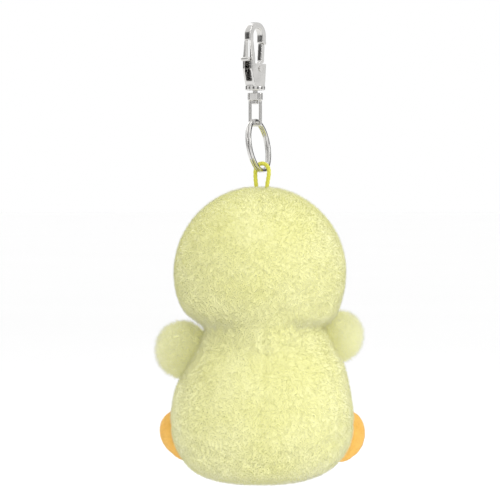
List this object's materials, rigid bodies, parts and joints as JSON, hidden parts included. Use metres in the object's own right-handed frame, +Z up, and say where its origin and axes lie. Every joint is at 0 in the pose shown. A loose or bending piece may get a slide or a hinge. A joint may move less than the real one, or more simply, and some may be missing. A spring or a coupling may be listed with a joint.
{
  "type": "plush keychain",
  "caption": "Small plush chick on a braided cord loop, split ring and swivel trigger snap, with a sprung gate and flexing wings and feet.",
  "frame": {"origin": "centre of the hook's round seat, where the keychain hangs", "axes": "+Z up the hanging keychain, +X to the chick's own left, +Y out of its back"},
  "size_m": [0.0804, 0.0722, 0.1703],
  "materials": {
    "nickel_casting": "bright nickel plate on a die casting",
    "nickel_lever": "bright nickel plate on pressed steel",
    "nickel_rivet": "bright nickel plate",
    "nickel_wire": "bright nickel plate on wire",
    "spring_steel": "bare spring wire",
    "cord": "braided polyester",
    "washer_plastic": "natural nylon",
    "eye_plastic": "polished black",
    "orange_felt": "short orange pile",
    "stuffing": "polyester fibre",
    "pellet_cloth": "thin woven cloth",
    "wing_plush": "longer pale yellow pile",
    "yellow_plush": "short velvety pale yellow pile"
  },
  "bodies": {
    "clip": {"snap_body": "nickel_casting", "lever_pin": "nickel_rivet", "lever_spring": "spring_steel"},
    "trigger": {"gate_lever": "nickel_lever"},
    "swivel": {"swivel_eye": "nickel_wire", "swivel_rivet": "nickel_rivet"},
    "ring": {"split_ring": "nickel_wire"},
    "chick": {"cord_loop": "cord", "cord_knot": "cord", "head_back_left": "yellow_plush", "head_back_right": "yellow_plush", "head_face": "yellow_plush", "head_stuffing": "stuffing", "eye_left": "eye_plastic", "eye_right": "eye_plastic", "eye_washer_left": "washer_plastic", "eye_washer_right": "washer_plastic", "beak_upper": "orange_felt", "beak_lower": "orange_felt", "body_back_left": "yellow_plush", "body_back_right": "yellow_plush", "body_belly": "yellow_plush", "body_base": "yellow_plush", "body_stuffing": "stuffing", "pellet_bag": "pellet_cloth"},
    "wing_left": {"wing_left_back": "wing_plush", "wing_left_front": "wing_plush", "wing_left_stuffing": "stuffing"},
    "wing_right": {"wing_right_back": "wing_plush", "wing_right_front": "wing_plush", "wing_right_stuffing": "stuffing"},
    "foot_left": {"foot_left_back": "orange_felt", "foot_left_front": "orange_felt", "foot_left_stuffing": "stuffing"},
    "foot_right": {"foot_right_back": "orange_felt", "foot_right_front": "orange_felt", "foot_right_stuffing": "stuffing"}
  },
  "joints": [
    {"name": "trigger_press", "type": "hinge", "parent": "clip", "child": "trigger", "pos_m": [-0.00025, -0.00032, -0.01225], "axis": [-0.788, 0.6157, 0], "range_deg": [0, 22], "stiffness_Nm_per_rad": 0.02, "springref_deg": -11.46, "deforming": ["lever_spring"]},
    {"name": "swivel_turn", "type": "hinge", "parent": "clip", "child": "swivel", "pos_m": [0, 0, -0.0212], "axis": [0, 0, 1], "continuous": true},
    {"name": "ring_swing", "type": "hinge", "parent": "swivel", "child": "ring", "pos_m": [0, 0, -0.033], "axis": [0.9184, -0.3618, -0.1599], "range_deg": [-45, 45]},
    {"name": "loop_swing", "type": "hinge", "parent": "ring", "child": "chick", "pos_m": [-0.00256, 0.00101, -0.04998], "axis": [0.3665, 0.9304, 0], "range_deg": [-35, 35]},
    {"name": "wing_left_flex", "type": "hinge", "parent": "chick", "child": "wing_left", "pos_m": [0.02709, 0.00101, -0.11858], "axis": [-0.4654, 0, 0.8851], "range_deg": [-15, 15], "stiffness_Nm_per_rad": 0.003},
    {"name": "wing_right_flex", "type": "hinge", "parent": "chick", "child": "wing_right", "pos_m": [-0.0287, 0.00101, -0.11282], "axis": [0.5731, 0, 0.8195], "range_deg": [-15, 15], "stiffness_Nm_per_rad": 0.003},
    {"name": "foot_left_flex", "type": "hinge", "parent": "chick", "child": "foot_left", "pos_m": [0.0278, -0.01796, -0.14998], "axis": [0, 0, 1], "range_deg": [-15, 15], "stiffness_Nm_per_rad": 0.003},
    {"name": "foot_right_flex", "type": "hinge", "parent": "chick", "child": "foot_right", "pos_m": [-0.03292, -0.01796, -0.14998], "axis": [0, 0, 1], "range_deg": [-15, 15], "stiffness_Nm_per_rad": 0.003}
  ]
}
